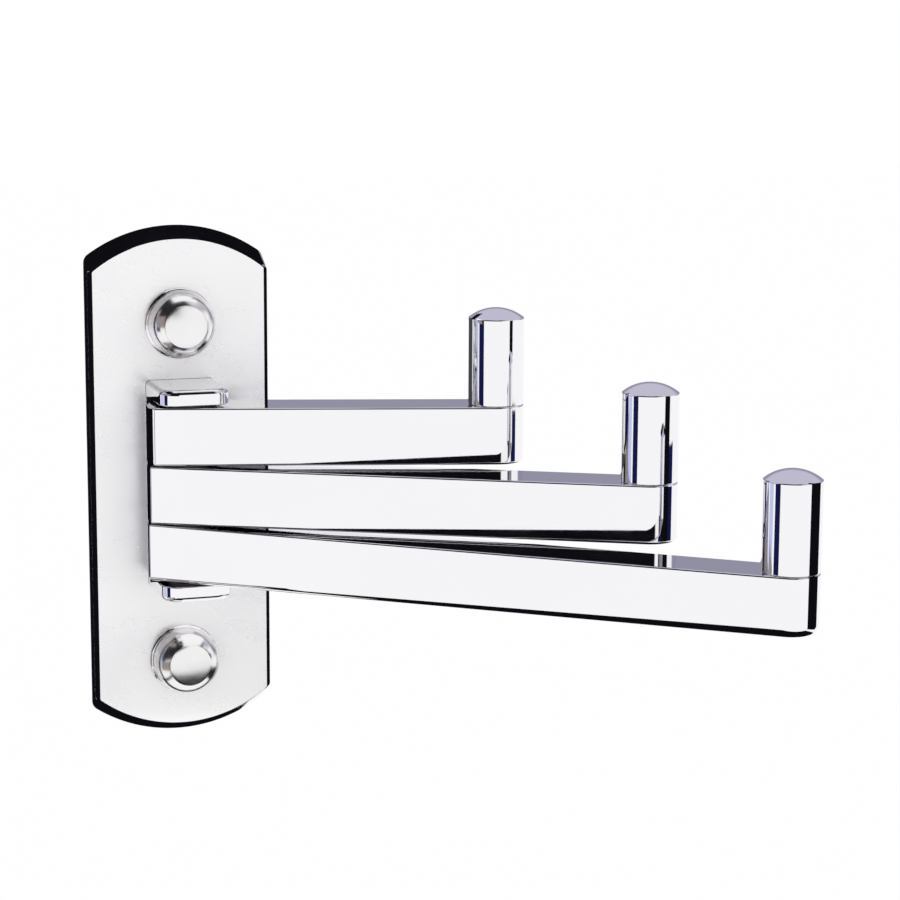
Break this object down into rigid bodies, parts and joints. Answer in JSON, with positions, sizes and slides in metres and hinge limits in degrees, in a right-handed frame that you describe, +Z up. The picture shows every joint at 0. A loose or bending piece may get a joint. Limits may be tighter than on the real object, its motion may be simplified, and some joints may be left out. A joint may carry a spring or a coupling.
{
  "type": "triple towel hook",
  "caption": "Chrome wall hook: square swing arms on a shared vertical pivot fan out from an arched plate, each arm ending in an upright round peg for a towel.",
  "frame": {"origin": "middle of the wall plate's back face, where it lies on the wall", "axes": "+Z up, +Y into the wall, +X to the right along the wall, towards the arms as shown"},
  "size_m": [0.1283, 0.1023, 0.1128],
  "materials": {
    "plate_chrome": "mirror polished",
    "yoke_chrome": "mirror polished",
    "arm_chrome": "mirror polished",
    "peg_chrome": "mirror polished",
    "seat_chrome": "mirror polished",
    "cap_chrome": "mirror polished",
    "pin_steel": "ground",
    "screw_steel": "zinc plated",
    "washer_nylon": "matt"
  },
  "bodies": {
    "base": {"wall_plate": "plate_chrome", "yoke": "yoke_chrome", "yoke_screws": "screw_steel", "pivot_pin": "pin_steel", "washer_bottom": "washer_nylon", "cap_seat_upper": "seat_chrome", "cap_seat_lower": "seat_chrome"},
    "short_arm": {"arm_short": "arm_chrome", "peg_short": "peg_chrome", "peg_screw_short": "screw_steel", "washer_top": "washer_nylon"},
    "middle_arm": {"arm_middle": "arm_chrome", "peg_middle": "peg_chrome", "peg_screw_middle": "screw_steel", "washer_upper": "washer_nylon"},
    "long_arm": {"arm_long": "arm_chrome", "peg_long": "peg_chrome", "peg_screw_long": "screw_steel", "washer_lower": "washer_nylon"},
    "upper_cap": {"cap_upper": "cap_chrome"},
    "lower_cap": {"cap_lower": "cap_chrome"}
  },
  "joints": [
    {"name": "short_arm_swing", "type": "hinge", "parent": "base", "child": "short_arm", "pos_m": [0, -0.0157, 0], "axis": [0, 0, 1], "range_deg": [-164.6, 15.4]},
    {"name": "middle_arm_swing", "type": "hinge", "parent": "base", "child": "middle_arm", "pos_m": [0, -0.0157, 0], "axis": [0, 0, 1], "range_deg": [-151.7, 28.3]},
    {"name": "long_arm_swing", "type": "hinge", "parent": "base", "child": "long_arm", "pos_m": [0, -0.0157, 0], "axis": [0, 0, 1], "range_deg": [-141.8, 38.2]},
    {"name": "upper_cap_pull", "type": "slide", "parent": "base", "child": "upper_cap", "axis": [0, -1, 0], "range_m": [0, 0.012]},
    {"name": "lower_cap_pull", "type": "slide", "parent": "base", "child": "lower_cap", "axis": [0, -1, 0], "range_m": [0, 0.012]}
  ]
}
